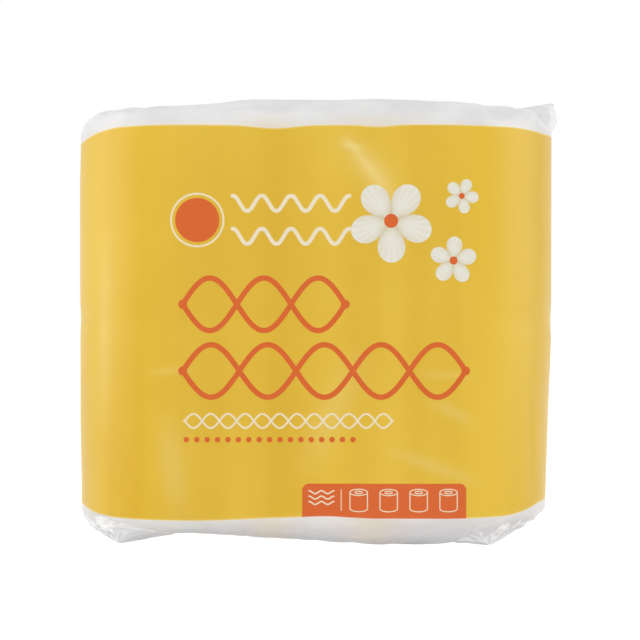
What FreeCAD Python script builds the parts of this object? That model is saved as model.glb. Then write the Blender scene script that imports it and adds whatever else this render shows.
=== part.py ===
import FreeCAD, Part
import math
import os

# A pack of toilet rolls, sealed in one piece of printed plastic film. The rolls stand upright, side by side
# and one layer on the other. The film is drawn tight round them, so that its section is a straight-sided
# oval. Each end is closed like an envelope: the film of the round ends is gathered in over the rims, in
# creases that run out towards the middle, and a back flap and a front flap are folded down over it and
# sealed. Nothing shows of the inside, so the pack is one closed solid with the true form of its film.
# Millimetres. +Z is up, X runs along the pack's width and the front faces -Y.
# The origin is on the floor, under the middle of the pack.

# What the film holds
roll_diameter = 120.0
roll_height = 98.0
rolls_across = 2
rolls_high = 2

# How the film lies round the rolls
film_ease = 0.4  # film and air outside the rolls
rim_wrap = 3.0  # the film starts to turn over a rim this far before it
top_shoulder = 10.6  # radius of the turn at the top
base_shoulder = 10.6  # radius of the turn at the base
crown_rise = 2.3  # the top film swells this much above its shoulder
crown_flat = 11.0  # half the width of the flat ridge along the middle of the top
left_slack = 1.8  # the top film lies this much lower over the left column
foot_taper = 3.0  # the right end narrows this much down its lower layer
foot_tuck = 4.0  # and this much more round the turn under it
waist_depth = 0.5  # the film sinks between two layers of rolls
waist_length = 20.0

# Between two columns of rolls the film is drawn in at both ends of the pack
dent_depth = 1.8  # over the rims
top_dent = 0.6  # over the top
dent_length = 46.0  # down the wall
dent_width = 56.0

# The lower edge of a face sags unevenly off the floor. Its height above its lowest layer, at the left and right
# column's axis, at both ends of the dent, and in the middle
sag_left = 5.2
sag_inner_left = 4.6
sag_middle = 2.0
sag_inner_right = 0.1
sag_right = -1.4
sag_run = 40.0  # from the shoulder inwards, until the base lies flat
sag_hold = 0.65  # share of the sag that is left half way there

# The creases of the gathered film round each round end
gather_count = 9
top_gather = 1.1  # depth of a crease, under the ridges beside it
base_gather = 2.2
gather_uneven = 0.30  # how far the ridges stray from even steps, as a share of a step
long_crease = 46.0  # from the rim inwards
short_crease = 27.0

# The flaps that close the ends. A flap's cut edge runs from its left to its right.
top_step = 1.1  # height of each folded layer at the top
base_step = 1.6  # and at the base, where the layers hold more air
flap_thinning = 0.8  # share of that height lost towards the round ends
thin_from = 80.0  # and this far from the middle of the pack
top_flap_root = 82.0  # half the width of a flap where it leaves the face of the pack
base_flap_root = 92.0
top_front_left = -29.0  # ends of the cut edges
top_front_right = 40.0
top_back_left = -44.0
top_back_right = 36.0
base_front_left = -24.0
base_front_right = 62.0
base_back_left = -58.0
base_back_right = 30.0
flap_overlap = 12.0  # how far each flap reaches past the middle of the pack

# The ear, where the corner of the folded film stands up and out at the right of the top
ear_height = 13.0  # its corner, above the rolls
ear_overhang = 2.6  # its fullest point, outside the wall
ear_fullness = 3.7  # that point, above the rolls
ear_foot = 4.0  # where it joins the wall, below the top of the rolls
ear_ridge = 36.0  # from the wall back to where its ridge leaves the film
ear_spread = 15.0  # half its width at the rim
fold_seat = 1.0  # how far the hidden corners of the ear and the feet reach under the film

# The feet: the pointed corners of the base fold, which hang from the rim to the floor. The right ones are
# pleated. Angles are in degrees from the X axis.
foot_inset = 2.4  # its point on the floor, inside the wall
foot_reach = 34.0  # from the wall inwards, under the base
outer_height = 6.5  # where its outer end leaves the shoulder
inner_height = 9.2
outer_inset = 3.4  # that place, inside the wall
inner_inset = 4.6
left_foot = 51.0  # angle of its point
left_foot_outer = 38.0  # from its point round to its outer end
left_foot_inner = 25.0  # and to its inner end
right_foot = 62.0
right_foot_outer = 27.0
right_foot_inner = 25.0
left_pleats = 1
right_pleats = 4
pleat_depth = 1.8  # how far every second rib between two pleats stands out at the rim

# The lap seam down the back
lap_width = 14.0
lap_height = 0.35
lap_offset = 38.0

radius = roll_diameter / 2 + film_ease
column_span = roll_diameter * (rolls_across - 1)
side_axis = column_span / 2  # the axis of the outer column
half_width = side_axis + radius
fold_stack = 2 * base_step
roll_bottom = fold_stack + base_shoulder - rim_wrap
roll_top = roll_bottom + rolls_high * roll_height
wall_bottom = roll_bottom + rim_wrap
wall_top = roll_top - rim_wrap
top_turn = radius - top_shoulder  # where the centres of the turns lie, out from a column's axis
base_turn = radius - base_shoulder
crown_top = wall_top + top_shoulder + crown_rise
crown_radius = (top_turn**2 + (top_shoulder + crown_rise) ** 2 - top_shoulder**2) / (2 * crown_rise)
crown_lean = math.asin(top_turn / (crown_radius - top_shoulder))  # the crown's slope where it meets the turn
SHOULDER_STEPS = 3
CROWN_STEPS = 3
RIDGE_PHASE = 1.9  # radians from one point of the gathers to the next, in the sines that make them uneven
DEPTH_PHASE = 2.1
CLEAR = 30.0  # cutting tools run this far past the pack


def at(x, y, z):
    return FreeCAD.Vector(x, y, z)


def crown_height(out):
    """Height of the top film at a distance out from a column's axis, inside the shoulder."""
    return crown_top - crown_radius + math.sqrt(crown_radius**2 - out**2)


def crease(i, inset, deepest):
    """Depth of the film at point i round an end, where even points are ridges. A crease is deepest on the
    shoulder, and runs out further in."""
    if i % 2 == 0:
        return 0.0
    reach = long_crease if i % 4 == 1 else short_crease
    return deepest * (1 + gather_uneven * math.sin(DEPTH_PHASE * i)) * max(0.0, 1 - inset / reach)


def sag(turn):
    """How far the base film sags off its lowest layer at a share of the way round a round end, from its end at
    the right of a face to its end at the left of the other."""
    ahead, behind = max(0.0, 1 - 2 * turn), max(0.0, 2 * turn - 1)
    return sag_right * ahead**2 + sag_left * behind**2


def ring(out, z, tilt=0.0, gather=0.0, dent=0.0, fall=0.0, slack=0.0, sagging=0.0,
         draw=0.0):
    """The edges of one turn of the film round the pack, at a distance out from the columns' axes. tilt is the
    film's lean from upright there, in radians, minus for the base. gather is the depth of its creases, and dent
    how far it is drawn in between the columns. Both act square to the film. fall lowers its round ends, slack
    lowers the left one more, sagging is its share of the base's sag, and draw pulls its right end in."""
    inward = (math.cos(tilt), math.sin(tilt))

    def place(facing, x, y, lift, sink=0.0):
        """x and y are those of the right end and the back. Where facing is -1 they are turned half round."""
        beyond = min(1.0, max(0.0, abs(x) - dent_width / 2) / (thin_from - dent_width / 2))
        pull = draw * max(0.0, x - side_axis) / out if facing == 1 else 0.0
        lowered = fall * beyond if facing == 1 else (fall + slack) * beyond
        return at(facing * (x - pull), facing * y, z - sink * inward[1] - lowered + sagging * lift)

    def end(facing, turn, sink=0.0):
        angle = math.pi * (turn - 0.5)
        r = out - sink * inward[0]
        return place(facing, side_axis + r * math.cos(angle), r * math.sin(angle), sag(turn), sink)

    turns = [0.0]
    for i in range(1, 2 * gather_count):
        turns.append((i + gather_uneven * math.sin(RIDGE_PHASE * i)) / (2 * gather_count))
    turns.append(1.0)
    half = []
    for facing in (1, -1):
        sinks = [crease(i, radius - out, gather) for i in range(len(turns))]
        ends = [end(facing, turn, sink) for turn, sink in zip(turns, sinks)]
        sides = [place(facing, dent_width / 2, out, sag_inner_left),
                 place(facing, -dent_width / 2, out, sag_inner_right)]
        half.append((facing, ends, sides))
    edges = []
    for (facing, ends, sides), (_, ends_after, _) in zip(half, half[::-1]):
        for n in range(2 * gather_count):
            if gather > 0:
                edges.append(Part.makeLine(ends[n], ends[n + 1]))
            else:
                mid = end(facing, (turns[n] + turns[n + 1]) / 2)
                edges.append(Part.Arc(ends[n], mid, ends[n + 1]).toShape())
        edges.append(Part.makeLine(ends[-1], sides[0]))
        if dent > 0 or sagging > 0:
            mid = place(facing, 0.0, out - dent * inward[0], sag_middle, dent)
            edges.append(Part.Arc(sides[0], mid, sides[1]).toShape())
        else:
            edges.append(Part.makeLine(sides[0], sides[1]))
        edges.append(Part.makeLine(sides[1], ends_after[0]))
    return edges


def caps(edges):
    """The flat faces inside a ring: one between its two dents, and one at each end."""
    half = len(edges) // 2
    right, left = edges[:half], edges[half:]
    turn = 2 * gather_count
    seams = [Part.makeLine(a[turn].Vertexes[1].Point, b[turn + 2].Vertexes[0].Point)
             for a, b in ((right, left), (left, right))]
    loops = [right[:turn + 1] + [seams[0], left[turn + 2]], left[:turn + 1] + [seams[1], right[turn + 2]],
             [right[turn + 1], seams[1], left[turn + 1], seams[0]]]
    return [Part.Face(Part.Wire(loop)) for loop in loops]


def skin(rings):
    """A closed solid of film stretched from ring to ring."""
    faces = caps(rings[0]) + caps(rings[-1])
    for low, high in zip(rings, rings[1:]):
        faces += [Part.makeRuledSurface(a, b) for a, b in zip(low, high)]
    shell = Part.makeShell(faces)
    shell.sewShape()
    solid = Part.Solid(shell)
    if solid.Volume < 0:
        solid.reverse()
    return solid


def top_rings(lift=0.0, gather=0.0):
    """The film from the wall's end over the shoulder to the middle of the top. lift raises it from the rim
    on, as a folded layer does."""
    rings = []
    for step in range(1, SHOULDER_STEPS + 1):
        share = step / SHOULDER_STEPS
        tilt = (math.pi / 2 - crown_lean) * share
        out = top_turn + top_shoulder * math.cos(tilt)
        dent = dent_depth + (top_dent - dent_depth) * share
        rings.append(ring(out, wall_top + top_shoulder * math.sin(tilt) + lift, tilt, gather, dent,
                          fall=lift * flap_thinning, slack=left_slack * share))
    edge = top_turn + top_shoulder * math.sin(crown_lean)
    for step in range(1, CROWN_STEPS + 1):
        out = edge + (crown_flat - edge) * step / CROWN_STEPS
        last = step == CROWN_STEPS
        tilt = math.pi / 2 - math.asin(out / crown_radius)
        rings.append(ring(out, crown_height(out) + lift, tilt, 0.0 if last else gather,
                          0.0 if last else top_dent * out / radius, fall=lift * flap_thinning,
                          slack=left_slack))
    return rings


def base_rings(drop=0.0, gather=0.0):
    """The film from the wall's end over the lower shoulder to the flat base. drop lowers it."""
    rings = []
    floor = wall_bottom - base_shoulder - drop
    thinned = -drop * flap_thinning
    for step in range(1, SHOULDER_STEPS + 1):
        share = step / SHOULDER_STEPS
        tilt = math.pi / 2 * share
        out = base_turn + base_shoulder * math.cos(tilt)
        z = floor + base_shoulder * (1 - math.sin(tilt))
        rings.append(ring(out, z, -tilt, gather, dent_depth * (1 - share), fall=thinned,
                          sagging=share, draw=foot_taper + foot_tuck * share))
    rings.append(ring(base_turn - sag_run / 2, floor, -math.pi / 2, gather, fall=thinned * sag_hold,
                      sagging=sag_hold, draw=foot_taper))
    rings.append(ring(base_turn - sag_run, floor))
    return rings


def top_rim():
    return ring(radius, wall_top, dent=dent_depth)


def base_rim():
    return ring(radius, wall_bottom, dent=dent_depth, draw=foot_taper)


def wrapped():
    """The film round the rolls, gathered in at both ends, without its flaps."""
    joint = roll_bottom + roll_height
    narrow = foot_taper * (1 - dent_length / (joint - wall_bottom))
    wall = [ring(radius, wall_bottom + dent_length, draw=narrow)]
    for layer in range(1, rolls_high):
        joint = roll_bottom + layer * roll_height
        wall.append(ring(radius, joint - waist_length / 2))
        wall.append(ring(radius - waist_depth, joint))
        wall.append(ring(radius, joint + waist_length / 2))
    wall.append(ring(radius, wall_top - dent_length))
    below = base_rings(gather=base_gather)[::-1] + [base_rim()]
    return skin(below + wall + [top_rim()] + top_rings(gather=top_gather))


def prism(points, low, high):
    """A straight prism over a plan outline, between two heights."""
    corners = [at(x, y, low) for x, y in points]
    outline = Part.makePolygon(corners + corners[:1])
    return Part.Face(outline).extrude(at(0, 0, high - low))


def flap_plan(root, turn, left, right, side):
    """A flap seen from above: wide where it leaves the face on that side, and narrow at its cut edge, which
    lies past the middle of the pack. side is -1 for the front and 1 for the back."""
    outside = side * (radius + CLEAR)
    cut_edge = -side * flap_overlap
    return [(-root, outside), (root, outside), (root, side * turn), (right, cut_edge),
            (left, cut_edge), (-root, side * turn)]


def top_flap(layers, left, right, side):
    lid = skin([top_rim()] + top_rings(lift=layers * top_step))
    plan = flap_plan(top_flap_root, top_turn, left, right, side)
    return lid.common(prism(plan, wall_top - CLEAR, crown_top + CLEAR))


def base_flap(layers, left, right, side):
    lid = skin([base_rim()] + base_rings(drop=layers * base_step))
    plan = flap_plan(base_flap_root, base_turn, left, right, side)
    return lid.common(prism(plan, -CLEAR, wall_bottom + CLEAR))


def flaps():
    """At each end the back flap, and the front flap that is folded over it. The pack stands on its lower
    front flap."""
    return [top_flap(1, top_back_left, top_back_right, 1),
            top_flap(2, top_front_left, top_front_right, -1),
            base_flap(1, base_back_left, base_back_right, 1),
            base_flap(2, base_front_left, base_front_right, -1)]


def facets(corners, faces):
    """A closed solid of flat facets. Each face lists its corners by number."""
    sides = [Part.Face(Part.makePolygon([corners[n] for n in face + face[:1]])) for face in faces]
    solid = Part.Solid(Part.makeShell(sides))
    if solid.Volume < 0:
        solid.reverse()
    return solid


def top_ear():
    """The corner of folded film that stands up and out at the right of the top, like a small tent."""
    ridge = half_width - ear_ridge
    back = at(ridge, 0, crown_height(ridge - side_axis) - fold_seat)
    rim = side_axis + math.sqrt(radius**2 - ear_spread**2) - fold_seat
    front, rear = [at(rim, side * ear_spread, wall_top) for side in (-1, 1)]
    corner = at(half_width + ear_overhang / 2, 0, roll_top + ear_height)
    full = at(half_width + ear_overhang, 0, roll_top + ear_fullness)
    foot = at(half_width - fold_seat, 0, roll_top - ear_foot)
    corners = [back, front, rear, corner, full, foot]
    return facets(corners, [(0, 1, 3), (1, 4, 3), (1, 5, 4), (0, 3, 2), (2, 3, 4), (2, 4, 5),
                            (0, 2, 1), (1, 2, 5)])


def foot(facing, side, angles, pleats):
    """A pointed corner of the base fold at one round end. It hangs from the rim in pleats, and its point
    touches the floor. angles are those of its outer end, its point and its inner end."""
    outer, point, inner = [math.radians(angle) for angle in angles]
    tuck = foot_taper + foot_tuck / 2 if facing == 1 else 0.0

    def place(inset, angle, z):
        out = radius - inset
        return at(facing * (side_axis + (out - tuck) * math.cos(angle)), side * out * math.sin(angle), z)

    loop = []
    for rib in range(pleats + 1):
        share = rib / pleats
        inset = outer_inset + (inner_inset - outer_inset) * share
        if 0 < rib < pleats and rib % 2 == 1:
            inset -= pleat_depth
        height = outer_height + (inner_height - outer_height) * share
        loop.append(place(inset, outer + (inner - outer) * share, height))
    under = fold_stack + fold_seat
    loop += [place(foot_reach, inner, under), place(foot_reach, outer, under)]
    last = len(loop)
    sides = [(0, n % last + 1, n) for n in range(1, last + 1)]
    lid = [(1, n, n + 1) for n in range(2, last)]
    return facets([place(foot_inset, point, 0)] + loop, sides + lid)


def feet():
    left = (left_foot - left_foot_outer, left_foot, left_foot + left_foot_inner)
    right = (right_foot - right_foot_outer, right_foot, right_foot + right_foot_inner)
    ends = ((1, right, right_pleats), (-1, left, left_pleats))
    return [foot(facing, side, angles, pleats) for facing, angles, pleats in ends for side in (-1, 1)]


def lap_seam():
    """The overlap where the film's two long edges are sealed together, down the back."""
    strip = Part.makeBox(lap_width, radius, wall_top - wall_bottom)
    strip.translate(at(lap_offset - lap_width / 2, lap_height, wall_bottom))
    return strip


def roll_pack():
    return wrapped().fuse(flaps() + [lap_seam(), top_ear()] + feet()).removeSplitter()


os.makedirs("parts", exist_ok=True)
roll_pack().exportStep("parts/roll_pack.step")
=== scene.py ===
import math

import bpy
import numpy as np
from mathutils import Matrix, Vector, kdtree, noise


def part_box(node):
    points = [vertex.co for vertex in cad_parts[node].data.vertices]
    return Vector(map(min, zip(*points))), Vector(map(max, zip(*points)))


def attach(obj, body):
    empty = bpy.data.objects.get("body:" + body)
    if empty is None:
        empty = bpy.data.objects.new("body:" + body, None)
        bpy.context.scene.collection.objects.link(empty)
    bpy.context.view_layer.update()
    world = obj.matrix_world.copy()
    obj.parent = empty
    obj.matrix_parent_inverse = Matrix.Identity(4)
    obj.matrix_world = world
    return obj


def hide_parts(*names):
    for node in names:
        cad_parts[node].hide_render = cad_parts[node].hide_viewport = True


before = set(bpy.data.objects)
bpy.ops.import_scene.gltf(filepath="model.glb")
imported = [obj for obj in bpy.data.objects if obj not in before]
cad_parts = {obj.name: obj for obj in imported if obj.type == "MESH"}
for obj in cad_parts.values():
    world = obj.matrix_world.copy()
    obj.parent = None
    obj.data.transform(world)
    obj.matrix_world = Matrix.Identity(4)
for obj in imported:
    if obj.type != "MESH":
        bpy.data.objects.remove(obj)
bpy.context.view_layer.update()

# The pack of toilet rolls in its printed film. Metres, in the frame's axes: the printed front faces -Y.

low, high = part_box("roll_pack")
MM = 0.001

# The pack's main sizes, as in the part's source
ROLL_RADIUS = 60.4 * MM
SIDE_AXIS = 60.0 * MM
ROLL_BOTTOM = 10.8 * MM
ROLL_TOP = 206.8 * MM
WALL_BOTTOM = 13.8 * MM
BASE_SHOULDER = 10.6 * MM
FOOT_TAPER = 3.0 * MM
FOOT_TUCK = 4.0 * MM
MIDDLE = (ROLL_BOTTOM + ROLL_TOP) / 2

# The photograph's view
CAMERA_AWAY = 825 * MM  # from the front of the pack
CAMERA_ASIDE = 1.9 * MM
CAMERA_UP = 11.7 * MM  # above the middle of the rolls
CAMERA_DIP = math.radians(0.766)
LENS = 96.75
SENSOR = 36.0

# The floor, which the camera sees white but for the pack's shadow
FLOOR_WHITE = 1.25
SHADOW_SHARE = 0.9  # how white the floor is under the pack's edge, against what its shadow makes of it
SHADOW_NEAR = 0.15
SHADOW_FAR = 0.45

# The printed band, in millimetres above the floor. Closing the film drew both its edges out of line.
BAND_TOP = 203.1
BAND_FOOT = 14.1


def ramp(x, start, end):
    """0 before start, 1 after end, and a soft rise between. Either may be the larger."""
    t = np.clip((x - start) / (end - start), 0, 1)
    return t * t * (3 - 2 * t)


def points_of(mesh):
    flat = np.empty(len(mesh.vertices) * 3)
    mesh.vertices.foreach_get("co", flat)
    return flat.reshape(-1, 3)


def normals_of(mesh):
    flat = np.empty(len(mesh.vertices) * 3)
    mesh.vertex_normals.foreach_get("vector", flat)
    return flat.reshape(-1, 3)


def set_points(mesh, points):
    mesh.vertices.foreach_set("co", points.astype(np.float32).ravel())
    mesh.update()


def only(piece):
    """Makes a piece the one that operators act on."""
    bpy.ops.object.select_all(action="DESELECT")
    piece.select_set(True)
    bpy.context.view_layer.objects.active = piece


def apply(piece, kind, name, **settings):
    """Adds a modifier, and applies it."""
    only(piece)
    modifier = piece.modifiers.new(name, kind)
    for key, value in settings.items():
        setattr(modifier, key, value)
    bpy.ops.object.modifier_apply(modifier=name)


# Film

FILM_GRID = 1.55 * MM
SLACK_GRID = 3.0 * MM
SLACK_FRAMES = 14
SLACK_GROWTH = 0.05  # how much larger the slack film is than what it lies on
TIGHT_LIFT = 1.5 * MM  # what drawing the film tight takes off the top's left shoulder
HUNG_BELOW = 10.5 * MM  # the film hangs in one layer below this height
RIGHT_FOOT_DRAWN = 0.9 * MM  # how far the film is drawn in under the right foot's sheets
LEFT_BULGE = 0.6 * MM  # how far it bulges at the left end

# How deep the film is crumpled
RIGHT_FOOT_CRUMPLE = 0.5 * MM
LEFT_FOOT_CRUMPLE = 0.3 * MM
EAR_CRUMPLE = 0.4 * MM
BASE_CRUMPLE = 0.3 * MM
TOP_CRUMPLE = 0.2 * MM

# The lap seam down the back
LAP_MIDDLE = 38 * MM
LAP_WIDTH = 14 * MM
LAP_HEIGHT = 0.35 * MM
LAP_EDGE = 0.5 * MM
LAP_LINE = 0.3  # half the width of its pale edges, in millimetres
BACK = (20 * MM, 30 * MM)  # where the back begins

# Creases that run out over the front and its shoulders: start and end (x, z), half width and height, in
# millimetres. Those with a minus are drawn in.
# Where a crease lifts the film, the film is also painted a paler yellow there: a painted highlight along it.
CREASES = [
    ((16, 193), (38, 169), 7.0, 0.45),
    ((14, 196), (39, 166), 2.2, 0.5),
    ((13.5, 193.5), (21.5, 191.5), 1.5, 0.9),
    ((-81, 84.0), (-62, 85.5), 1.8, 0.30),
    ((50, 83.5), (76, 82.0), 1.8, 0.30),
    ((56, 70), (76, 60), 3.0, 0.35),
    ((36, 46), (78, 31), 3.0, 0.35),
    ((105, 70), (107, 17), 2.2, -0.35),
    ((-72, 60), (-66, 16), 6.0, 0.35),
    ((-102, 150), (-104, 60), 4.0, 0.30),
    ((20, 90), (-4, 40), 7.0, 0.30),
]


def film_from_solid(name, grid):
    """A copy of the pack's solid as one even skin."""
    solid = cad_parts["roll_pack"]
    film = bpy.data.objects.new(name, solid.data.copy())
    bpy.context.scene.collection.objects.link(film)
    film.data.materials.clear()
    only(film)
    bpy.ops.object.mode_set(mode="EDIT")
    bpy.ops.mesh.select_all(action="SELECT")
    bpy.ops.mesh.remove_doubles(threshold=0.01 * MM)
    bpy.ops.object.mode_set(mode="OBJECT")
    apply(film, "REMESH", "even", mode="VOXEL", voxel_size=grid, use_smooth_shade=True)
    apply(film, "SMOOTH", "relax", factor=0.5, iterations=2)
    return film


def slackness(points):
    """From 0 where the film is tight to 1 where it is loose: at both ends, and most in the corners."""
    x, y, z = points.T
    top = ramp(z, ROLL_TOP - 8 * MM, ROLL_TOP + 4 * MM)
    foot = ramp(z, ROLL_BOTTOM + 9 * MM, ROLL_BOTTOM - 2 * MM)
    right = ramp(x, 60 * MM, 105 * MM)
    left = ramp(x, -70 * MM, -105 * MM)
    return np.clip(top * (0.35 + 0.65 * right) + foot * (0.45 + 0.55 * np.maximum(right, left)), 0, 1)


def crumpling(points):
    """How deep the film is crumpled: most at the right foot, less at the left one and the ear."""
    x, y, z = points.T
    foot = ramp(z, 13.5 * MM, 9 * MM)
    right = ramp(x, 52 * MM, 78 * MM) * foot * RIGHT_FOOT_CRUMPLE
    left = ramp(x, -84 * MM, -104 * MM) * foot * LEFT_FOOT_CRUMPLE
    ear = ramp(x, 76 * MM, 100 * MM) * ramp(z, ROLL_TOP - 3 * MM, ROLL_TOP + 4 * MM) * EAR_CRUMPLE
    base = foot * BASE_CRUMPLE
    top = ramp(z, ROLL_TOP - 3 * MM, ROLL_TOP + 6 * MM) * TOP_CRUMPLE
    return np.maximum.reduce([right, left, ear, base, top])


def tightened(film):
    """Draws the film tight over the rims, which smooths its gathers there, most at the left of the top."""
    points = points_of(film.data)
    x, y, z = points.T
    top = ramp(z, ROLL_TOP - 6 * MM, ROLL_TOP + 2 * MM)
    left = ramp(x, -40 * MM, -75 * MM)
    right = ramp(x, 66 * MM, 84 * MM) * ramp(x, 116 * MM, 104 * MM)
    foot = ramp(z, 1.5 * MM, 5 * MM) * ramp(z, 16 * MM, 12 * MM)
    share = np.maximum(top * (0.25 + 0.75 * left + 0.5 * right), foot * 0.8)
    tight = film.vertex_groups.new(name="tight")
    for index, weight in enumerate(share):
        if weight > 0:
            tight.add([index], float(weight), "REPLACE")
    apply(film, "SMOOTH", "tight", factor=0.5, iterations=24, vertex_group="tight")
    film.vertex_groups.clear()
    relaxed = points_of(film.data)
    above = ramp(z, ROLL_TOP, ROLL_TOP + 5 * MM)
    corner = ramp(x, -64 * MM, -104 * MM) * ramp(x, -119 * MM, -104 * MM) * above
    shallow = ramp(x, -30 * MM, -50 * MM) * ramp(x, -80 * MM, -64 * MM) * top
    beside_ear = ramp(x, 84 * MM, 97 * MM) * ramp(x, 117 * MM, 106 * MM) * above
    lift = TIGHT_LIFT * (corner + foot * 0.4 - shallow * 0.4 + beside_ear * 0.2)
    set_points(film.data, relaxed + normals_of(film.data) * lift[:, None])


def along_film(points):
    """Where a point lies on the film spread flat: the way round the pack from the middle of the front, and
    the height, which goes on inwards over both shoulders."""
    x, y, z = points.T
    over = np.maximum(np.abs(x) - SIDE_AXIS, 0)
    turn = np.arctan2(over, -y)
    inset = ROLL_RADIUS - np.hypot(over, y)
    around = np.sign(x) * (np.minimum(np.abs(x), SIDE_AXIS) + ROLL_RADIUS * turn)
    return around, z + inset * np.sign(z - MIDDLE)


def scatter(i, j, seed):
    """An even scatter of values from -1 to 1 over whole numbers i and j."""
    mixed = (i.astype(np.int64) * 374761393 + j.astype(np.int64) * 668265263 + seed * 974711) & 0xFFFFFFFF
    mixed = ((mixed ^ (mixed >> 13)) * 1274126177) & 0xFFFFFFFF
    return ((mixed ^ (mixed >> 16)) & 0xFFFF) / 32767.5 - 1


def flat_folds(a, b, seed):
    """A surface of flat triangles between scattered heights, as crumpled film has."""
    skew = (a + b) * 0.366
    a, b = a + skew, b + skew
    i, j = np.floor(a), np.floor(b)
    f, g = a - i, b - j
    upper = (g > f).astype(float)
    far = scatter(i + 1, j + 1, seed)
    near = scatter(i, j, seed)
    aside = scatter(i + 1 - upper, j + upper, seed)
    return near * (1 - np.maximum(f, g)) + aside * np.abs(f - g) + far * np.minimum(f, g)


def crumples(points):
    """Crumpled folds, drawn out along the film's edge."""
    around, up = along_film(points)
    bend = np.array([noise.noise(Vector(place) * 28) for place in points])
    a = around / (15 * MM) + bend * 0.9
    b = (up - around * 0.22) / (7.5 * MM) + bend
    broad = flat_folds(a, b, 3)
    fine = flat_folds(a * 2.3 + 0.4, b * 2.1, 11)
    return broad + 0.42 * fine


def creases(points):
    """How far the creases of the front lift the film, in metres."""
    x, y, z = points.T / MM
    lift = np.zeros(len(points))
    front = ramp(-y, 10, 30)
    for start, end, width, height in CREASES:
        start, end = np.array(start, float), np.array(end, float)
        line = end - start
        place = np.stack([x, z], 1) - start
        share = np.clip(place @ line / (line @ line), 0, 1)
        off = np.hypot(*(place - share[:, None] * line).T)
        fade = np.sin(np.pi * np.clip(share, 0.06, 0.94)) ** 0.6
        lift += height * fade * np.exp(-((off / width) ** 2)) * front
    return lift * MM


def slack_moves():
    """Where loose film goes when it has more area than the rolls under it: cloth that grows while it is
    held to its place. Gives the points at rest and how far each moves."""
    cloth = film_from_solid("slack", SLACK_GRID)
    rest = points_of(cloth.data)
    slack = slackness(rest)
    hold = cloth.vertex_groups.new(name="hold")
    grow = cloth.vertex_groups.new(name="grow")
    for index, share in enumerate(slack):
        hold.add([index], float(1 - 0.8 * share), "REPLACE")
        grow.add([index], float(share), "REPLACE")
    modifier = cloth.modifiers.new("cloth", "CLOTH")
    film = modifier.settings
    film.quality = 5
    film.mass = 0.05
    film.tension_stiffness = film.compression_stiffness = 20
    film.shear_stiffness = 10
    film.bending_stiffness = 0.02
    film.effector_weights.gravity = 0
    film.vertex_group_mass = "hold"
    film.pin_stiffness = 0.6
    film.vertex_group_shrink = "grow"
    film.shrink_min = 0.0
    film.shrink_max = -SLACK_GROWTH
    scene = bpy.context.scene
    for step in range(1, SLACK_FRAMES + 1):
        scene.frame_set(step)
    only(cloth)
    bpy.ops.object.modifier_apply(modifier="cloth")
    scene.frame_set(1)
    moves = points_of(cloth.data) - rest
    bpy.data.objects.remove(cloth)
    return rest, moves


def carried(points, rest, moves, near=4):
    """The moves of the nearest few points of the slack film, for each point."""
    tree = kdtree.KDTree(len(rest))
    for index, place in enumerate(rest):
        tree.insert(place, index)
    tree.balance()
    result = np.empty_like(points)
    for row, place in enumerate(points):
        found = tree.find_n(place, near)
        index = [f[1] for f in found]
        weight = np.array([1 / (f[2] + 0.2 * MM) for f in found])
        result[row] = (weight[:, None] * moves[index]).sum(0) / weight.sum()
    return result


def note(piece, name, values):
    """Keeps a value with each point of a piece, for its surface."""
    attribute = piece.data.attributes.new(name, "FLOAT", "POINT")
    attribute.data.foreach_set("value", values.astype(np.float32))


def lapped(points):
    """1 on the strip of the back where the film's two long edges overlap."""
    x, y, z = points.T
    strip = ramp(np.abs(x - LAP_MIDDLE), LAP_WIDTH / 2 + LAP_EDGE, LAP_WIDTH / 2 - LAP_EDGE)
    ends = ramp(z, ROLL_BOTTOM, WALL_BOTTOM) * ramp(z, ROLL_TOP, ROLL_TOP - 3 * MM)
    return strip * ends * ramp(y, *BACK)


def hanging(points):
    """1 where the film hangs in one layer under the rolls, and is painted grey: partly for the single layer
    with no roll behind it, partly as painted shade of the film turned under the pack.
    """
    x, y, z = points.T
    waver = np.array([noise.noise(Vector(place) * 22) for place in points]) * 2.5 * MM
    edge = HUNG_BELOW + waver - ramp(x, -30 * MM, -70 * MM) * 3 * MM
    return ramp(z - edge, 2 * MM, -1.6 * MM)


def film_wrap():
    film = film_from_solid("film_wrap", FILM_GRID)
    tightened(film)
    points = points_of(film.data)
    slack = slackness(points)
    set_points(film.data, points + carried(points, *slack_moves()))
    points = points_of(film.data)
    folds = crumples(points)
    x, y, z = points.T
    drawn_in = ramp(x, 86 * MM, 98 * MM) * ramp(z, 13 * MM, 8 * MM)
    bulge = ramp(x, -100 * MM, -117 * MM) * ramp(z, 20 * MM, 60 * MM) * ramp(z, ROLL_TOP, 170 * MM)
    raised = creases(points)
    crumpled = folds * crumpling(points)
    lift = raised + crumpled - RIGHT_FOOT_DRAWN * drawn_in + LEFT_BULGE * bulge + LAP_HEIGHT * lapped(points)
    points = points + normals_of(film.data) * lift[:, None]
    points[:, 2] = np.maximum(points[:, 2], 0)
    set_points(film.data, points)
    note(film, "slack", slack)
    # The crumple height, which the surface turns into painted highlight on ridges and painted shade in
    # valleys.
    note(film, "fold", crumpled / MM)
    # Where the film is painted grey below the rolls, partly as painted shade.
    note(film, "hung", hanging(points))
    # How far the creases lift the film is kept for its surface, which paints them a paler yellow: a painted
    # highlight.
    note(film, "crease_highlight", np.clip(raised / MM, 0, 1))
    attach(film, "root")
    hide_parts("roll_pack")
    return film


# The crisp sheets of folded film at the ear and the feet

SHEET_LIFT = 0.35 * MM  # outside the film that it lies on
SHEET_THICKNESS = 0.25 * MM


def between(stops, share):
    """Places along a path of (share, place) stops."""
    shares = [stop[0] for stop in stops]
    return np.stack([np.interp(share, shares, [stop[1][axis] for stop in stops]) for axis in range(3)], 1)


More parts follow.
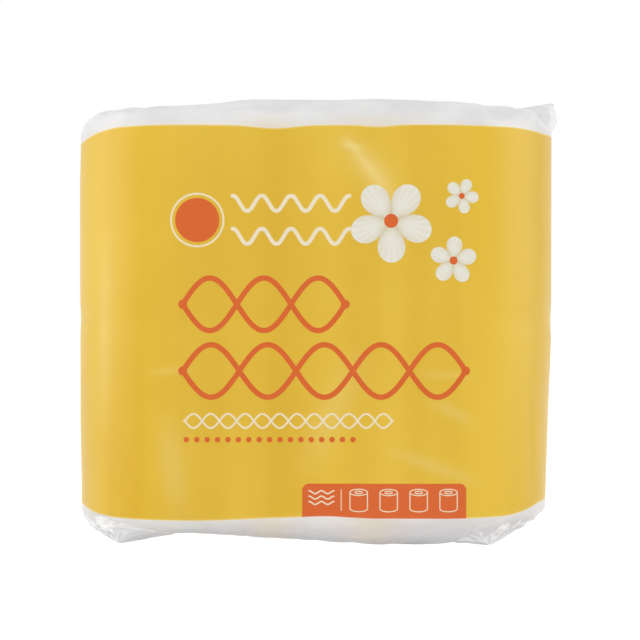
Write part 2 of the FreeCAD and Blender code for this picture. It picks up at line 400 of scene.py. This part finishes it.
def folded_sheet(name, across, along, shape, crumple, folds, seed, white, hung, slack):
    """A thin sheet, made from a flat grid by shape, a function of where a point lies across it, from -1
    to 1, and along it, from 0 to 1. crumple and slack are how deep its folds are and how loose it is at
    either side, and folds is how many it has each way. white tells along it how much painted highlight
    its folds get, and hung where it hangs in one layer and is painted grey, partly as painted shade."""
    bpy.ops.object.select_all(action="DESELECT")
    bpy.ops.mesh.primitive_grid_add(x_subdivisions=across, y_subdivisions=along, size=2)
    sheet = bpy.context.object
    sheet.name = name
    flat = points_of(sheet.data)
    u, v = flat[:, 0], (flat[:, 1] + 1) / 2
    set_points(sheet.data, shape(u, v))
    normals = normals_of(sheet.data)
    points = points_of(sheet.data)
    if (normals * (points - np.array([0, 0, MIDDLE]))).sum() < 0:
        only(sheet)
        bpy.ops.object.mode_set(mode="EDIT")
        bpy.ops.mesh.select_all(action="SELECT")
        bpy.ops.mesh.flip_normals()
        bpy.ops.object.mode_set(mode="OBJECT")
        normals = normals_of(sheet.data)
    only(sheet)
    bpy.ops.object.shade_smooth()
    bend = np.array([noise.noise(Vector(place) * 60) for place in points])
    a, b = u * folds[0] / 2 + bend * 0.9, v * folds[1] + bend * 0.7
    height = flat_folds(a, b, seed) + 0.5 * flat_folds(a * 2.1 + 0.3, b * 2.3, seed + 1)
    depth = np.interp(u, (-0.2, 0.3), crumple)
    lift = SHEET_LIFT * ramp(v, 0, 0.15) + depth * height * np.sin(np.pi * v) ** 0.5
    points = points + normals * lift[:, None]
    points[:, 2] = np.maximum(points[:, 2], 0.02 * MM)
    set_points(sheet.data, points)
    note(sheet, "slack", np.interp(u, (-0.2, 0.3), slack))
    # The fold value also carries white: a painted highlight over the sheet, brightest along its hem.
    note(sheet, "fold", height * depth / (0.6 * MM) + white(v))
    note(sheet, "hung", hung(v))
    apply(sheet, "SOLIDIFY", "thickness", thickness=SHEET_THICKNESS, offset=-1)
    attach(sheet, "root")
    return sheet


def ear_sheet():
    """The ear's film, folded over its ridge and its outer edge."""
    back = np.array([84.4, 0, 214.6]) * MM
    rim = np.array([117.5, -15, 203.8]) * MM
    corner = np.array([121.8, 0, 219.6]) * MM
    full = np.array([123.2, 0, 210.3]) * MM
    foot = np.array([119.6, 0, 202.8]) * MM
    ridge = [(0, back), (0.55, corner), (0.8, full), (1, foot)]
    hem = [(0, back), (0.55, rim), (0.8, rim), (1, foot)]

    def shape(u, v):
        top, side = between(ridge, v), between(hem, v)
        place = top + (side - top) * np.abs(u)[:, None]
        hollow = np.sin(np.pi * np.abs(u)) * np.sin(np.pi * v) * 1.2 * MM
        place[:, 1] = np.where(u < 0, place[:, 1] + hollow, -place[:, 1] - hollow)
        return place

    crumple, slack = (0.35 * MM, 0.35 * MM), (0.7, 0.7)
    # A white of 1 paints the whole ear lighter: a painted highlight over its folds.
    return folded_sheet("ear_sheet", 40, 56, shape, crumple, (6, 7), 5, np.ones_like, np.zeros_like, slack)


FOOT_HEM = 0.34  # how far down a foot its fold lies, as a share of the way to its point
FOOT_ROOT = (58.9, 13.6)  # how far out a foot leaves the wrap, and how high, in millimetres

# A foot's hem and point: out from the axis of the outer rolls, angle from the pack's end and height, in
# millimetres and degrees
LEFT_HEM = [(57.6, 2, 9.4), (58.6, 14, 8.2), (59.0, 26, 7.6), (59.2, 38, 7.6), (59.2, 50, 8.0),
            (58.8, 60, 8.2), (58.2, 68, 8.0), (57.0, 75, 7.2), (54.6, 81, 6.0)]
LEFT_POINT = (58.2, 51, 0.2)
RIGHT_HEM = [(56.2, 4, 11.0), (57.6, 15, 10.0), (57.0, 26, 9.4), (58.8, 37, 8.4), (58.2, 47, 8.4),
             (59.6, 56, 7.8), (58.6, 65, 8.2), (59.2, 73, 7.2), (58.2, 82, 7.0), (57.2, 91, 5.6),
             (54.8, 99, 3.6)]
RIGHT_POINT = (58.0, 62, 0.2)
BACK_RIBS = 9  # of the right hem, which is shorter at the back


def foot_sheet(name, facing, side, hem, point, crumple, folds, seed, slack):
    """A foot's film: it leaves the wrap under the printed band, is folded at its hem, and fans in from there
    to its point. hem and point are (out, angle, z), in millimetres and degrees."""

    def place(out, z, angle):
        drawn = np.clip((WALL_BOTTOM / MM - z) / (BASE_SHOULDER / MM), 0, 1)
        tuck = (FOOT_TAPER + FOOT_TUCK * drawn) / MM if facing > 0 else 0.0
        turn = math.radians(angle)
        along = SIDE_AXIS / MM + (out - tuck) * math.cos(turn)
        return np.array([facing * along, side * out * math.sin(turn), z]) * MM

    stops = [(n / (len(hem) - 1), place(out, z, angle)) for n, (out, angle, z) in enumerate(hem)]
    roots = [(n / (len(hem) - 1), place(*FOOT_ROOT, angle=angle)) for n, (out, angle, z) in enumerate(hem)]
    out, angle, z = point
    tip = place(out, z, angle)

    def shape(u, v):
        share = (u + 1) / 2
        root, edge = between(roots, share), between(stops, share)
        above = np.clip(v / FOOT_HEM, 0, 1)[:, None]
        below = np.clip((v - FOOT_HEM) / (1 - FOOT_HEM), 0, 0.97)[:, None]
        return root + (edge - root) * above + (tip - edge) * below

    # Painted highlight: the whole sheet is a little lighter, more so on the slacker foot, with a bright line
    # along its hem.
    def white(v):
        return 0.15 + 0.35 * slack[1] + 0.6 * np.exp(-(((v - FOOT_HEM) / 0.025) ** 2))

    # Painted grey below the hem, partly the bare single layer and partly painted shade; less on the slacker
    # right foot.
    def hung(v):
        return ramp(v, FOOT_HEM, FOOT_HEM + 0.05) * (1.25 - slack[1])

    return folded_sheet(name, 72, 40, shape, crumple, folds, seed, white, hung, slack)


def foot_sheets():
    made = []
    for side, word, right_hem in ((-1, "front", RIGHT_HEM), (1, "back", RIGHT_HEM[:BACK_RIBS])):
        made.append(foot_sheet("left_foot_" + word, -1, side, LEFT_HEM, LEFT_POINT,
                               (0.9 * MM, 0.12 * MM), (20, 4), 21 + side, (0.8, 0.25)))
        made.append(foot_sheet("right_foot_" + word, 1, side, right_hem, RIGHT_POINT,
                               (0.75 * MM, 0.6 * MM), (22, 3.4), 31 + side, (1.0, 1.0)))
    return made


# Shader maths


class Sum:
    """A shader value that takes part in sums."""

    def __init__(self, graph, socket):
        self.graph = graph
        self.socket = socket

    def math(self, operation, *others):
        return self.graph.node("ShaderNodeMath", {"operation": operation}, [self, *others])

    def __add__(self, other):
        return self.math("ADD", other)

    def __radd__(self, other):
        return self.math("ADD", other)

    def __sub__(self, other):
        return self.math("SUBTRACT", other)

    def __rsub__(self, other):
        return self.graph.node("ShaderNodeMath", {"operation": "SUBTRACT"}, [other, self])

    def __mul__(self, other):
        return self.math("MULTIPLY", other)

    def __rmul__(self, other):
        return self.math("MULTIPLY", other)

    def __truediv__(self, other):
        return self.math("DIVIDE", other)

    def __pow__(self, other):
        return self.math("POWER", other)

    def __abs__(self):
        return self.math("ABSOLUTE")

    def least(self, other):
        return self.math("MINIMUM", other)

    def most(self, other):
        return self.math("MAXIMUM", other)

    def sine(self):
        return self.math("SINE")

    def cosine(self):
        return self.math("COSINE")

    def root(self):
        return self.math("SQRT")

    def rise(self, start, end):
        """0 before start, 1 after end, and a soft rise between."""
        soft = {"interpolation_type": "SMOOTHSTEP"}
        return self.graph.node("ShaderNodeMapRange", soft, [self, start, end])

    def beside(self, output):
        """Another output of the same node."""
        return Sum(self.graph, self.socket.node.outputs[output])


class Graph:
    """The shader nodes of a material, or of the room."""

    def __init__(self, owner, shader="Principled BSDF", end="Material Output"):
        owner.use_nodes = True
        self.owner = owner
        self.tree = owner.node_tree
        self.shader = self.tree.nodes[shader]
        self.end = self.tree.nodes[end]
        self.place = self.node("ShaderNodeTexCoord", output="Object")
        self.x = self.node("ShaderNodeSeparateXYZ", inputs=[self.place], output="X")
        self.y = self.x.beside("Y")
        self.z = self.x.beside("Z")

    def node(self, kind, settings=None, inputs=(), output=0):
        """Adds a node. inputs are its sockets' values or links, in order or by name."""
        made = self.tree.nodes.new(kind)
        for key, value in (settings or {}).items():
            setattr(made, key, value)
        pairs = inputs.items() if isinstance(inputs, dict) else enumerate(inputs)
        for key, value in pairs:
            self.join(value, made.inputs[key])
        return Sum(self, made.outputs[output])

    def join(self, value, socket):
        if isinstance(value, Sum):
            self.tree.links.new(value.socket, socket)
        else:
            socket.default_value = value

    def give(self, **values):
        """Values of the shader's own sockets, with _ for each space in their names."""
        for name, value in values.items():
            self.join(value, self.shader.inputs[name.replace("_", " ")])

    def mix(self, share, under, over):
        """Colour over laid on colour under by a share."""
        colours = {"data_type": "RGBA"}
        return self.node("ShaderNodeMix", colours, {0: share, 6: under, 7: over}, output=2)

    def cover(self, share, over):
        """Lays another shader over the graph's own by a share."""
        own = Sum(self, self.shader.outputs[0])
        self.join(self.node("ShaderNodeMixShader", inputs=[share, own, over]), self.end.inputs[0])

    def seen(self):
        """1 for what the camera sees, also in a reflection."""
        straight = self.node("ShaderNodeLightPath", output="Is Camera Ray")
        return straight.most(straight.beside("Is Glossy Ray"))

    def noise(self, scale, detail=2.0, place=None, **more):
        inputs = {"Vector": place or self.place, "Scale": scale, "Detail": detail, **more}
        return self.node("ShaderNodeTexNoise", inputs=inputs)

    def facets(self, scale, place):
        """The height of a surface broken into flat facets, each with a tilt of its own."""
        cell = {"Vector": place, "Scale": float(scale)}
        middle = self.node("ShaderNodeTexVoronoi", inputs=cell, output="Position")
        off = self.node("ShaderNodeVectorMath", {"operation": "SUBTRACT"}, [place, middle])
        tilt = [middle.beside("Color"), (0.5, 0.5, 0.5)]
        lean = self.node("ShaderNodeVectorMath", {"operation": "SUBTRACT"}, tilt)
        product = {"operation": "DOT_PRODUCT"}
        return self.node("ShaderNodeVectorMath", product, [off, lean], output="Value") * scale

    def stretched(self, x, y, z):
        """The place on the piece, stretched along each axis."""
        return self.node("ShaderNodeMapping", inputs={"Vector": self.place, "Scale": (x, y, z)})

    def attribute(self, name):
        return self.node("ShaderNodeAttribute", {"attribute_name": name}, output="Fac")


def from_screen(red, green, blue):
    """A colour as a shader reads it, from its red, green and blue of 255 on a screen."""
    def light(c):
        return c / 255 / 12.92 if c < 11 else ((c / 255 + 0.055) / 1.055) ** 2.4

    return light(red), light(green), light(blue), 1.0


# Print and film colours, with painted highlights, sheen and shade

PALE_YELLOW = from_screen(238, 198, 60)
DEEP_YELLOW = from_screen(224, 180, 32)
FRINGE = from_screen(246, 224, 140)
ORANGE = from_screen(219, 96, 8)
LABEL_ORANGE = from_screen(222, 100, 30)
WHITE_INK = from_screen(243, 230, 200)
PETAL = from_screen(240, 238, 228)
PETAL_SHADE = from_screen(214, 202, 166)
MILKY = from_screen(237, 237, 238)
GREY_MILKY = from_screen(228, 228, 228)
# Painted light: a warm tint for yellow light passing through and off the film near the band.
WARM_GLOW_MILKY = from_screen(233, 223, 205)
# Grey of a single hanging layer of film, also used as painted shade under the pack and in fold valleys.
SINGLE_FILM_AND_SHADE = from_screen(222, 222, 226)
# White of film in more layers, also a painted highlight on fold ridges, sheet hems and the ear.
FOLD_WHITE_AND_HIGHLIGHT = from_screen(250, 250, 251)
# A painted highlight: the paler yellow of the band where its creases lift it.
CREASE_HIGHLIGHT_YELLOW = from_screen(242, 214, 124)
EDGE = 0.12 * MM  # softness of a printed edge

BADGE = (-57, 157.4)
BLOSSOMS = ((36, 157, 20, 0.3), (66, 138, 11.5, 1.0), (70, 169, 8.5, 0.1))  # place, radius and turn


class Print:
    """Shapes printed on the front, as masks. u runs along the film from the middle of the front, and v is
    the height above the floor, both in millimetres."""

    def __init__(self, graph):
        self.graph = graph
        beyond = (abs(graph.x) - SIDE_AXIS).most(0)
        turn = beyond.math("ARCTAN2", (graph.y * -1).most(1 * MM))
        sign = graph.x.math("SIGN")
        self.u = sign * (abs(graph.x).least(SIDE_AXIS) + turn * ROLL_RADIUS) / MM
        self.v = graph.z / MM
        self.front = (graph.y * -1).rise(0, 5 * MM)

    def inside(self, distance):
        """1 where a distance is below zero."""
        return distance.rise(EDGE / MM, -EDGE / MM)

    def bow(self, middle, width):
        """1 at a place along the front, and less to both sides of it."""
        off = (self.u - middle) / width
        return (off * off * -1).math("EXPONENT") * self.front

    def span(self, value, start, end):
        return self.inside(abs(value - (start + end) / 2) - (end - start) / 2)

    def away(self, x, z, across=None):
        across = self.u - x if across is None else across
        up = self.v - z
        return (across * across + up * up).root()

    def disc(self, x, z, radius):
        return self.inside(self.away(x, z) - radius)

    def circle(self, x, z, radius, stroke):
        return self.inside(abs(self.away(x, z) - radius) - stroke / 2)

    def panel(self, left, right, foot, top, corner):
        """A box with round corners."""
        across = (abs(self.u - (left + right) / 2) - ((right - left) / 2 - corner)).most(0)
        up = (abs(self.v - (foot + top) / 2) - ((top - foot) / 2 - corner)).most(0)
        return self.inside((across * across + up * up).root() - corner)

    def wave(self, left, right, level, height, length, stroke, start=0.0):
        """A wavy line from left to right."""
        turns = 2 * math.pi / length
        phase = (self.u - left) * turns + start
        slope = phase.cosine() * (height * turns)
        off = abs(self.v - level - phase.sine() * height) / (slope * slope + 1).root()
        return self.inside(off - stroke / 2) * self.span(self.u, left, right)

    def ripple(self, left, right, level, height, length, stroke):
        """A wavy line of whole waves, whose round ends are crests."""
        line = self.wave(left, right, level, height, length, stroke, math.pi / 2)
        for end in (left, right):
            line = line.most(self.disc(end, level + height, stroke / 2))
        return line

    def braid(self, left, right, level, height, links, stroke):
        """Two wavy lines that cross, as a chain of links with a dot at each end."""
        length = 2 * (right - left) / links
        pair = self.wave(left, right, level, height, length, stroke)
        pair = pair.most(self.wave(left, right, level, height, length, stroke, math.pi))
        for end in (left, right):
            pair = pair.most(self.disc(end, level, stroke * 0.85))
        return pair

    def repeated(self, left, pitch):
        """The distance from the middle of the nearest of a row of things."""
        return (self.u - left).math("PINGPONG", pitch / 2)

    def blossom(self, x, z, radius, turn):
        """A blossom of five petals: its mask, and how deep in shade its petals are."""
        across, up = self.u - x, self.v - z
        angle = up.math("ARCTAN2", across) + turn
        petal = abs((angle * 2.5).cosine()) ** 0.55
        reach = self.away(x, z) / radius
        mask = self.inside((reach - (petal * 0.66 + 0.34)) * radius)
        vein = abs((angle * 17.5).cosine()) * 0.25
        shade = (1 - petal) * 0.8 + reach.rise(0.5, 0.1) * 0.5 + vein * reach.rise(0.2, 0.8)
        return mask, shade.least(1)


def milky_film(graph):
    """The colour of film without print: a painted highlight on fold ridges, which also stands for more
    layers there, and painted shade in fold valleys; greyer where one layer hangs under the rolls, which is
    partly painted shade.
    """
    cloudy = graph.noise(42, 3, graph.stretched(1.0, 1.0, 2.2)).rise(0.35, 0.65)
    fold = graph.attribute("fold")
    film = graph.mix(cloudy, GREY_MILKY, MILKY)
    # Painted grey where one layer hangs under the rolls: partly the bare single layer, partly painted shade.
    film = graph.mix(graph.attribute("hung") * 0.85, film, SINGLE_FILM_AND_SHADE)
    # Painted highlight on fold ridges, hems and the ear, partly also the whiter look of more layers.
    film = graph.mix(fold.rise(0.15, 0.9) * 0.8, film, FOLD_WHITE_AND_HIGHLIGHT)
    # Painted shade in fold valleys.
    return graph.mix(fold.rise(-0.2, -1.0) * 0.5, film, SINGLE_FILM_AND_SHADE)


def band_edges(ink):
    """Heights of the printed band's two edges at each place along the pack."""
    x = ink.graph.x / MM
    waver = (ink.graph.noise(20, 1) - 0.5) * 0.8

    def towards(value, start, length):
        """Grows ever faster past start, up to 1 and a bit more at length."""
        share = ((value - start) / length).most(0).least(1.1)
        return share * share

    left = x * -1
    top = BAND_TOP + waver - towards(left, 93, 22) * 4.0 - towards(x, 90, 20) * 1.3
    top = top - ink.bow(-20, 13) * 1.6 - ink.bow(30, 9) * 0.9
    foot = BAND_FOOT - waver - left.rise(20, 58) * 1.2 + ink.bow(5, 14) * 0.9
    foot = foot + towards(left, 98, 18) * 2.6 + towards(x, 90, 19) * 3.4
    return top, foot


def printed(graph):
    """The film's colour: white ends, a yellow band all round, and a generic design on its front, with
    painted light: a yellow glow on the white near the band, and sheen bands and crease highlights on the
    yellow.
    """
    ink = Print(graph)
    top, foot = band_edges(ink)
    edge = EDGE / MM
    band = (ink.v - top).rise(edge, -edge) * (foot - ink.v).rise(edge, -edge)
    to_edge = abs(ink.v - top).least(abs(ink.v - foot))
    fringe = to_edge.rise(0.9, 0.1)
    # Painted light: a warm tint on the white near the band's edges, for yellow light through and off the
    # film.
    warm = to_edge.rise(6, 0) * (0.1 + graph.noise(30, 2) * 0.5) * (ink.v.rise(20, 190) * 0.6 + 0.4)
    # Painted light: two patches of yellow glow on the white just above the front of the band.
    shine = (ink.bow(-22, 11) + ink.bow(27, 13)) * (ink.v - top).rise(12, 0) * 0.6
    white = graph.mix((warm + shine).least(1), milky_film(graph), WARM_GLOW_MILKY)

    # Painted sheen: upright bands of paler yellow stand in for reflections along the tight film; cloud is
    # tone that differs at random.
    upright = graph.noise(34, 2, graph.stretched(1.0, 1.0, 0.04)).rise(0.3, 0.7)
    cloud = graph.noise(9, 3).rise(0.3, 0.7)
    colour = graph.mix(upright * 0.55 + cloud * 0.45, DEEP_YELLOW, PALE_YELLOW)
    # Painted highlight: the yellow is paler where creases lift the film.
    colour = graph.mix(graph.attribute("crease_highlight"), colour, CREASE_HIGHLIGHT_YELLOW)
    colour = graph.mix(fringe * 0.6, colour, FRINGE)
    lap_edges = abs(abs(graph.x - LAP_MIDDLE) - LAP_WIDTH / 2) / MM
    colour = graph.mix(ink.inside(lap_edges - LAP_LINE) * graph.y.rise(*BACK) * 0.6, colour, FRINGE)
    colour = graph.mix(orange_print(ink) * ink.front, colour, ORANGE)
    colour = graph.mix(white_print(ink) * ink.front, colour, WHITE_INK)
    for x, z, radius, turn in BLOSSOMS:
        mask, shade = ink.blossom(x, z, radius, turn)
        colour = graph.mix(mask * ink.front, colour, graph.mix(shade, PETAL, PETAL_SHADE))
        colour = graph.mix(ink.disc(x, z, radius * 0.17) * ink.front, colour, ORANGE)
    colour = label(ink, colour)
    return graph.mix(band, white, colour)


def orange_print(ink):
    disc = ink.disc(*BADGE, 10.6)
    upper = ink.braid(-64, 14, 117, 12.6, 3, 2.6)
    lower = ink.braid(-64, 72, 85, 12.6, 5, 2.6)
    across = ink.repeated(-62.3, 5.0)
    dots = ink.inside(ink.away(0, 52, across) - 1.35) * ink.span(ink.u, -64.6, 20)
    return disc.most(upper).most(lower).most(dots)


def white_print(ink):
    ring = ink.circle(*BADGE, 12.6, 0.9)
    waves = ink.ripple(-40, 16, 165.4, 3.6, 14, 1.9).most(ink.ripple(-40, 16, 149.6, 3.6, 14, 1.9))
    return ring.most(waves).most(ink.braid(-63, 36.5, 61, 3.4, 12, 0.9))


def label(ink, colour):
    """The orange label at the foot of the front: wavy lines, a divider and four plain rolls."""
    graph = ink.graph
    panel = ink.panel(-6.7, 72.4, 5, 30.8, 3.4)
    lines = ink.ripple(-3.4, 8.6, 26.6, 0.7, 6, 0.7)
    for level in (24.0, 21.4):
        lines = lines.most(ink.ripple(-3.4, 8.6, level, 0.7, 6, 0.7))
    lines = lines.most(ink.span(ink.u, 11.9, 12.3) * ink.span(ink.v, 17.6, 28))
    across = ink.repeated(20.5, 14.4)
    rolls = roll_sign(ink, across) * ink.span(ink.u, 14, 71)
    colour = graph.mix(panel * ink.front, colour, LABEL_ORANGE)
    return graph.mix(lines.most(rolls) * ink.front, colour, WHITE_INK)


def roll_sign(ink, across):
    """The outline of an upright roll, around a distance from its middle."""
    wide, tall, top, foot, stroke = 4.2, 1.5, 26.6, 18.8, 0.5

    def rim(level, share):
        a, b = wide * share, tall * share
        out, up = across / a, (ink.v - level) / b
        reach = (out * out + up * up).root()
        slope = ((out / a) * (out / a) + (up / b) * (up / b)).root()
        return ink.inside(abs(reach * (reach - 1) / slope.most(0.01)) - stroke / 2)

    sides = ink.span(across, wide - stroke / 2, wide + stroke / 2) * ink.span(ink.v, foot, top)
    below = rim(foot, 1) * ink.inside(ink.v - foot)
    return rim(top, 1).most(rim(top, 0.4)).most(sides).most(below)


def film_surface(graph, colour):
    """The finish that printed and plain film share: glossy, with fine wrinkles where it is slack."""
    slack = graph.attribute("slack")
    fine = graph.noise(240, 4, Roughness=0.6)
    folds = graph.noise(70, 3, graph.stretched(1.0, 1.0, 2.4), Distortion=0.8)
    crinkle = abs(graph.noise(120, 3, graph.stretched(1.0, 1.0, 1.8), Distortion=1.2) - 0.5)
    facets = graph.facets(150, graph.stretched(0.6, 1.0, 1.0))
    height = folds * (0.25 + slack * 0.6) + fine * (0.05 + slack * 0.2) - crinkle * (slack * 1.2)
    height = height + facets * (slack.rise(0.5, 0.9) * 2.2)
    bump = graph.node("ShaderNodeBump", inputs={"Strength": 0.45, "Distance": 0.6 * MM, "Height": height})
    roughness = 0.30 + graph.noise(40, 2) * 0.12 - slack * 0.16
    graph.give(Base_Color=colour, Roughness=roughness, Normal=bump, IOR=1.5, Specular_IOR_Level=0.36)
    return graph.owner


def printed_film():
    graph = Graph(bpy.data.materials.new("printed_film"))
    return film_surface(graph, printed(graph))


def plain_film():
    graph = Graph(bpy.data.materials.new("plain_film"))
    return film_surface(graph, milky_film(graph))


# Studio


WHITE = (1.0, 1.0, 1.0, 1.0)
FLOOR_COLOUR = (0.86, 0.86, 0.86, 1.0)
FLOOR_SIZE = 8
ROOM_LIGHT = 0.34

# Name, place, size and power of each lamp
LAMPS = (
    ("left_light", (-1.2, -0.12, 0.45), (1.0, 1.2), 6.5),
    ("right_light", (1.2, -0.12, 0.45), (1.0, 1.2), 6.3),
    ("front_light", (-0.2, -1.5, 1.0), (1.6, 1.2), 9.0),
    ("top_light", (0.0, 0.1, 1.5), (1.2, 1.2), 2.2),
    ("low_light", (0.0, -1.3, 0.05), (2.0, 0.1), 1.7),
)


def floor_paint():
    """Pale and matt. The camera sees it white, but for a soft shadow close to the pack."""
    graph = Graph(bpy.data.materials.new("floor"))
    graph.give(Base_Color=FLOOR_COLOUR, Roughness=0.9, Specular_IOR_Level=0.0)
    away = graph.node("ShaderNodeVectorMath", {"operation": "LENGTH"}, [graph.place], output="Value")
    reach = [away, SHADOW_NEAR, SHADOW_FAR, SHADOW_SHARE, 1.0]
    white = graph.node("ShaderNodeEmission", inputs={"Strength": FLOOR_WHITE})
    graph.cover(graph.node("ShaderNodeMapRange", inputs=reach) * graph.seen(), white)
    return graph.owner


def room():
    """An even, dim room, which the camera sees white."""
    graph = Graph(bpy.data.worlds.new("studio"), "Background", "World Output")
    graph.give(Color=WHITE, Strength=ROOM_LIGHT)
    graph.cover(graph.seen(), graph.node("ShaderNodeBackground", inputs={"Color": WHITE, "Strength": 1.0}))
    return graph.owner


def studio():
    bpy.ops.object.select_all(action="DESELECT")
    bpy.ops.mesh.primitive_plane_add(size=FLOOR_SIZE, location=(0, 0, 0))
    floor = bpy.context.object
    floor.name = "floor"
    floor.data.materials.append(floor_paint())
    bpy.context.scene.world = room()
    for lamp in LAMPS:
        softbox(*lamp)


def softbox(name, place, size, power):
    """A soft lamp that faces the middle of the pack."""
    lamp = bpy.data.lights.new(name, "AREA")
    lamp.shape = "RECTANGLE"
    lamp.size, lamp.size_y = size
    lamp.energy = power
    holder = bpy.data.objects.new(name, lamp)
    holder.location = place
    holder.rotation_euler = (Vector((0, 0, MIDDLE)) - Vector(place)).to_track_quat("-Z", "Y").to_euler()
    bpy.context.scene.collection.objects.link(holder)


def camera():
    lens = bpy.data.cameras.new("camera")
    lens.lens = LENS
    lens.sensor_width = SENSOR
    holder = bpy.data.objects.new("camera", lens)
    holder.location = (CAMERA_ASIDE, low.y - CAMERA_AWAY, MIDDLE + CAMERA_UP)
    holder.rotation_euler = (math.pi / 2 - CAMERA_DIP, 0, 0)
    bpy.context.scene.collection.objects.link(holder)
    bpy.context.scene.camera = holder


bpy.context.scene.view_settings.view_transform = "Standard"
camera()
studio()
film_wrap().data.materials.append(printed_film())
plain = plain_film()
for sheet in [ear_sheet(), *foot_sheets()]:
    sheet.data.materials.append(plain)
